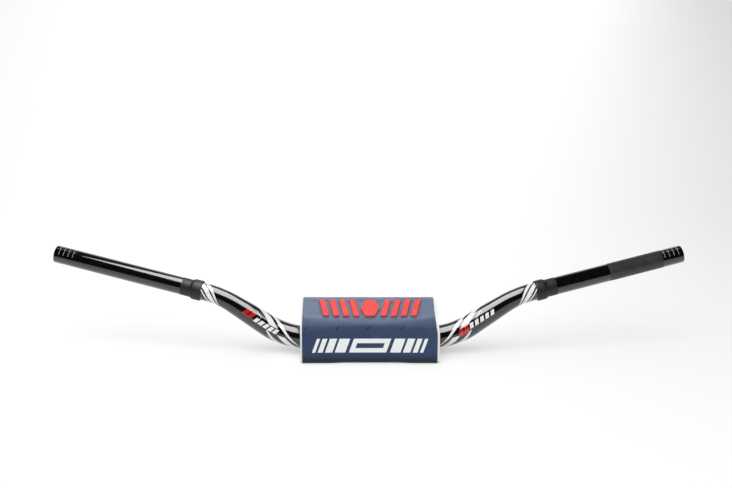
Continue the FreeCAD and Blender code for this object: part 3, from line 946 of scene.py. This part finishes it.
def lacquer():
    """Glossy black lacquer with white stripes, small marks on the risers and etched end lines."""
    graph = Graph("black_lacquer")
    signed, angle, _ = graph.split(graph.attribute("wrap"))
    along = graph.math("ABSOLUTE", signed)
    masks = [stripe(graph, along, angle, spec) for spec in STRIPES]
    masks.append(small_marks(graph, signed, angle, WHITE_MARKS, WHITE_MARK_SIZE))
    red = small_marks(graph, signed, angle, RED_MARKS, RED_MARK_SIZE)
    dust = graph.noise(260.0, 3.0)
    base = graph.blend(dust, 0.35, 0.7, BLACK_LACQUER, srgb(9, 9, 9))
    paper = graph.blend(dust, 0.3, 0.7, WHITE_PRINT, srgb(238, 238, 240))
    colour = graph.mix(graph.any_of(masks), base, paper)
    colour = graph.mix(red, colour, RED_PRINT)
    colour = graph.mix(etched_lines(graph, along, angle), colour, ETCHED)
    graph.set(Base_Color=colour, IOR=1.5, Coat_Weight=1.0, Coat_Roughness=0.035, Coat_IOR=1.52)
    graph.set(Roughness=graph.remap(dust, 0.3, 0.7, 0.12, 0.2))
    graph.bump(graph.noise(420.0, 2.0), 0.00004, 0.35)
    return graph.owner


def matte_metal():
    """The bead-blasted black of the collar and the neck beside it."""
    graph = Graph("matte_black")
    grain = graph.noise(2600.0, 2.0)
    patch = graph.noise(60.0, 3.0)
    colour = graph.blend(patch, 0.3, 0.7, srgb(27, 26, 24), srgb(35, 34, 32))
    graph.set(Base_Color=colour, Roughness=graph.remap(grain, 0.3, 0.7, 0.42, 0.58), IOR=1.5)
    graph.set(Specular_IOR_Level=0.42)
    graph.bump(grain, 0.00006, 0.5)
    return graph.owner


def knurled_metal():
    """The knurled hold for a grip, duller than the lacquer."""
    graph = Graph("knurled_black")
    patch = graph.noise(45.0, 4.0)
    colour = graph.blend(patch, 0.35, 0.65, srgb(42, 41, 39), srgb(54, 53, 50))
    graph.set(Base_Color=colour, Roughness=graph.remap(patch, 0.3, 0.7, 0.34, 0.44), IOR=1.5)
    graph.bump(graph.noise(2200.0, 2.0), 0.00004, 0.4)
    return graph.owner


def bare_aluminium():
    """The drawn bore, with fine lines along the tube."""
    graph = Graph("bare_aluminium")
    signed, angle, radius = graph.split(graph.attribute("wrap"))
    drawn = graph.join(graph.times(signed, 20.0), graph.times(angle, 90.0), radius)
    lines = graph.noise(1.0, 3.0, drawn)
    colour = graph.mix(lines, srgb(150, 151, 152), srgb(196, 196, 196))
    graph.set(Base_Color=colour, Metallic=1.0, Roughness=graph.remap(lines, 0.3, 0.7, 0.3, 0.5))
    graph.bump(lines, 0.00005, 0.5)
    return graph.owner


# The print on the front of the pad: leaning blocks as (middle, width), in millimetres, its
# middle's height over the tube's axis, half its height, its lean, and half the open frame's hole.
FRONT_BLOCKS = [(0, 46), (-34, 13), (34, 13), (-48, 9), (48, 9), (-58.5, 6), (58.5, 6)]
FRONT_BLOCKS += [(-66.5, 4), (66.5, 4)]
PRINT_HEIGHT = 3.4 * MM
PRINT_HALF = 9.0 * MM
PRINT_LEAN = -0.35
HOLE_HALF_WIDTH, HOLE_HALF_HEIGHT = 17 * MM, 3.2 * MM
# Short dark leaning ticks as (middle, width), how far they are above the print's middle, half
# of their height, and their lean.
DARK_TICKS = [(-79, 2.4), (-40, 2.4), (-2, 2.4), (40, 2.4)]
TICKS_ABOVE = 22.5 * MM
TICK_HALF_HEIGHT = 2.4 * MM
TICK_LEAN = -0.8
# Painted shade at the pad's foot, standing in for its contact shadow: where it is full and where it
# ends.
FOOT_SHADE = (3.0 * MM, 11.0 * MM)


def front_print(graph, across, level):
    """The mask of the generic print."""
    leaning = graph.math("MULTIPLY_ADD", level, PRINT_LEAN, across)
    hole = graph.times(
        graph.within(leaning, -HOLE_HALF_WIDTH, HOLE_HALF_WIDTH),
        graph.within(level, -HOLE_HALF_HEIGHT, HOLE_HALF_HEIGHT),
    )
    high = graph.within(level, -PRINT_HALF, PRINT_HALF)
    return graph.times(graph.blocks(leaning, FRONT_BLOCKS), high, graph.rest(hole))


def dark_ticks(graph, across, level):
    """The mask of the ticks above the print."""
    rise = graph.math("SUBTRACT", level, TICKS_ABOVE)
    leaning = graph.math("MULTIPLY_ADD", rise, TICK_LEAN, across)
    high = graph.within(rise, -TICK_HALF_HEIGHT, TICK_HALF_HEIGHT)
    return graph.times(graph.blocks(leaning, DARK_TICKS), high)


def coated_fabric():
    """Navy coated fabric with a fine grain and a generic white print on the front."""
    graph = Graph("navy_coated_fabric")
    across, mark, outer = graph.split(graph.attribute("print"))
    grain = graph.cells(1500.0)
    cloud = graph.noise(32.0, 4.0)
    mottle = graph.noise(190.0, 3.0)
    tone = graph.math("ADD", cloud, graph.times(mottle, 0.4))
    colour = graph.blend(tone, 0.5, 0.9, srgb(40, 59, 92), srgb(50, 69, 103))
    points, _ = wrap_path(1.0 * MM)
    marks = round_marks(points)
    middle = float(marks[nearest(points, (-PAD_FRONT, 0))]) + PRINT_HEIGHT
    level = graph.math("SUBTRACT", mark, middle)
    outside = graph.math("GREATER_THAN", outer, 0.5)
    white = graph.mix(mottle, srgb(240, 243, 243), srgb(250, 251, 250))
    colour = graph.mix(graph.times(front_print(graph, across, level), outside), colour, white)
    colour = graph.mix(graph.times(dark_ticks(graph, across, level), outside), colour, srgb(26, 34, 56))
    # Painted shade: the cover's outside darkens towards its foot, standing in for the contact shadow
    # there.
    foot = float(marks[nearest(points, (-PAD_FRONT, PAD_BOTTOM))])
    from_foot = graph.math("ABSOLUTE", graph.math("SUBTRACT", mark, foot))
    foot_shade = graph.times(graph.remap(from_foot, *FOOT_SHADE, 0.95, 0.0), outer)
    colour = graph.mix(foot_shade, colour, srgb(26, 30, 42))
    graph.set(Base_Color=colour, IOR=1.5, Specular_IOR_Level=0.3)
    graph.set(Roughness=graph.remap(mottle, 0.3, 0.7, 0.58, 0.7))
    graph.set(Sheen_Weight=0.9, Sheen_Roughness=0.4, Sheen_Tint=(0.78, 0.9, 1.0))
    graph.bump(graph.math("ADD", grain, graph.times(mottle, 0.6)), 0.00012, 0.5)
    return graph.owner


def white_foam():
    """White closed-cell foam with fine cells."""
    graph = Graph("white_foam")
    cells = graph.cells(1300.0)
    cloud = graph.noise(70.0, 3.0)
    colour = graph.blend(cells, 0.0, 0.6, srgb(252, 252, 250), srgb(244, 244, 241))
    graph.set(Base_Color=colour, Roughness=graph.remap(cloud, 0.3, 0.7, 0.75, 0.9), IOR=1.45)
    graph.bump(cells, 0.0002, 0.6)
    return graph.owner


def red_rubber():
    """Moulded red rubber, satin on top."""
    graph = Graph("red_rubber")
    grain = graph.noise(900.0, 3.0)
    cloud = graph.noise(55.0, 3.0)
    colour = graph.blend(cloud, 0.3, 0.7, srgb(228, 52, 45), srgb(238, 64, 55))
    graph.set(Base_Color=colour, Roughness=graph.remap(grain, 0.3, 0.7, 0.46, 0.58), IOR=1.5)
    graph.set(Specular_IOR_Level=0.3)
    graph.bump(grain, 0.00008, 0.4)
    return graph.owner


def fastener_tape(name, scale, *colours):
    """Woven fastener tape; the scale sets how coarse its pile is."""
    graph = Graph(name)
    pile = graph.cells(scale)
    colour = graph.blend(pile, 0.0, 0.6, *colours)
    graph.set(Base_Color=colour, Roughness=graph.remap(pile, 0.0, 0.6, 0.7, 0.9))
    graph.bump(pile, 0.0003, 0.8)
    return graph.owner


# The studio.

WHITE_LIGHT = (1.0, 1.0, 1.0)
# The share of the way back (+Y) at which the back light starts and is full, and its levels.
BACK_LIGHT = (0.6, 0.85, 0.015, 0.85)
# The softbox's outline seen from above, its height and its brightness.
SOFTBOX_OUTLINE = [(-0.43, -0.05), (-0.15, -0.38), (0.15, -0.36), (0.13, 0.14), (-0.2, 0.19)]
SOFTBOX_HEIGHT = 0.47
SOFTBOX_GLOW = 7.0
# The strip light that gives the cover its sheen: its size, place, power and colour.
CREST_LIGHT_SIZE = (0.26, 0.07)
CREST_LIGHT_PLACE = (-0.015, 0.125, 0.17)
CREST_LIGHT_POWER = 0.8
CREST_LIGHT_COLOUR = (0.82, 0.92, 1.0)
# How bright the room is to a surface that scatters light.
AROUND_LIGHT = 0.64
# The broad light from the front and above: its strength, how wide it is, and its turns.
TOP_LIGHT = 1.35
TOP_LIGHT_SPREAD = math.radians(60)
TOP_LIGHT_TURNS = (math.radians(33), math.radians(-12), 0)
FLOOR_HALF = 30.0
FLOOR_GAP = 0.1 * MM
FLOOR_COLOUR = 0.72
FLOOR_GLOW = 0.34
# Painted light falloff: where the floor greys to each side (from, to, share), how that leans with y,
# and where along y.
RIGHT_GREY = (-0.1, 0.85, 0.34)
LEFT_GREY = (0.1, 0.9, 0.1)
SIDE_SLANT = 0.2
GREY_BACK = (-1.0, 0.9)
# Where the floor in front of the object, as a glossy surface sees it, goes from dark to bright.
DARK_FRONT = (-0.95, -0.05)


def make_floor():
    """A plain white floor that keeps the object's shadow.

    The camera, glossy and transmission rays see it white, and in a glossy reflection it is
    dark in front of the object, as in a studio whose front is dark. It greys a little towards
    both sides behind the object, a painted falloff of light.
    """
    graph = Graph("floor_white")
    path = graph.add("LightPath").outputs
    x, y, _ = graph.split(graph.place())
    glossy = path["Is Glossy Ray"]
    seen = graph.any_of([path["Is Camera Ray"], glossy, path["Is Transmission Ray"]])
    # Painted light falloff: the floor's colour and glow grey towards both sides behind the object.
    painted_falloff = []
    for side, (near, far, share) in ((1.0, RIGHT_GREY), (-1.0, LEFT_GREY)):
        aside = graph.math("MULTIPLY_ADD", x, side, graph.times(y, -SIDE_SLANT))
        painted_falloff.append(graph.times(graph.eased(aside, near, far), share))
    painted_falloff = graph.times(graph.math("ADD", *painted_falloff), graph.eased(y, *GREY_BACK))
    unlit = graph.times(glossy, graph.rest(graph.eased(y, *DARK_FRONT)))
    level = graph.times(graph.rest(painted_falloff), graph.rest(unlit))
    grey = graph.times(level, FLOOR_COLOUR)
    glow = graph.times(seen, level, FLOOR_GLOW)
    graph.set(Base_Color=graph.join(grey, grey, grey), Roughness=1.0, Specular_IOR_Level=0.0)
    graph.set(Emission_Color=WHITE_LIGHT, Emission_Strength=glow)
    corners = [(-1, -1), (1, -1), (1, 1), (-1, 1)]
    points = [(a * FLOOR_HALF, b * FLOOR_HALF, PAD_BOTTOM - FLOOR_GAP) for a, b in corners]
    floor = new_piece("floor", points, [(0, 1, 2, 3)], [graph.owner])


def hide_from(thing, *rays):
    """Hides an object from some kinds of ray."""
    for ray in rays:
        setattr(thing, "visible_" + ray, False)


def make_softbox():
    """A flat glowing panel over the object, which shows in reflections only."""
    graph = Graph("softbox_glow", "Emission")
    graph.set(Color=WHITE_LIGHT, Strength=SOFTBOX_GLOW)
    points = [(x, y, SOFTBOX_HEIGHT) for x, y in SOFTBOX_OUTLINE]
    panel = new_piece("softbox", points, [tuple(range(len(points)))[::-1]], [graph.owner])
    hide_from(panel, "camera", "diffuse", "transmission", "shadow")


def make_top_light():
    """A broad soft light from the front and above that shows in no reflection."""
    data = bpy.data.lights.new("top_light", "SUN")
    data.energy = TOP_LIGHT
    data.angle = TOP_LIGHT_SPREAD
    lamp = new_object("top_light", data)
    lamp.rotation_euler = TOP_LIGHT_TURNS
    hide_from(lamp, "glossy")


def make_crest_light(cover):
    """A strip light behind the pad, which shows only as a soft sheen on its cover."""
    data = bpy.data.lights.new("crest_light", "AREA")
    data.shape = "RECTANGLE"
    data.size, data.size_y = CREST_LIGHT_SIZE
    data.energy = CREST_LIGHT_POWER
    data.color = CREST_LIGHT_COLOUR
    lamp = new_object("crest_light", data)
    lamp.location = CREST_LIGHT_PLACE
    crest = Vector((lamp.location.x, CREST_BACK, CREST_HEIGHT))
    lamp.rotation_euler = (lamp.location - crest).to_track_quat("Z", "Y").to_euler()
    hide_from(lamp, "diffuse", "camera")
    lit = bpy.data.collections.new("lit_by_crest_light")
    lit.objects.link(cover)
    lamp.light_linking.receiver_collection = lit


def make_world():
    """A studio whose front is dark in reflections and whose back is bright."""
    graph = Graph("studio", "Background", world=True)
    SCENE.world = graph.owner
    _, back, _ = graph.split(graph.add("TexCoord").outputs["Generated"])
    level = graph.eased(back, *BACK_LIGHT)
    path = graph.add("LightPath").outputs
    for ray, strength in (("Is Diffuse Ray", AROUND_LIGHT), ("Is Camera Ray", 1.0)):
        level = graph.add("Mix", Factor=path[ray], A=level, B=strength).outputs["Result"]
    graph.set(Color=WHITE_LIGHT, Strength=level)


def make_camera():
    data = bpy.data.cameras.new("camera")
    data.sensor_width = SENSOR
    data.lens = FOCAL_PIXELS / PHOTO_WIDTH * SENSOR
    data.clip_end = 100
    camera = new_object("camera", data)
    camera.location = CAMERA_PLACE
    camera.rotation_euler = (math.pi / 2 - CAMERA_ELEVATION, 0, 0)
    SCENE.camera = camera


make_camera()
make_world()
make_floor()
make_softbox()
make_top_light()
SCENE.view_settings.view_transform = "Standard"

BULGE = Bulge()
make_tube()
make_crest_light(make_cover(BULGE))
make_foam(BULGE)
LOOPS = fastener_tape("loop_pile", 2600.0, srgb(30, 30, 32), srgb(48, 48, 50))
HOOKS = fastener_tape("hook_pile", 1200.0, srgb(22, 22, 23), srgb(40, 40, 42))
make_tape("loop_strip", "loop_tape", LOOPS, TAPES_MEET, 1)
make_tape("hook_strip", "hook_tape", HOOKS, OUTER_FLAP_TOP, 2)
make_badge(BULGE)
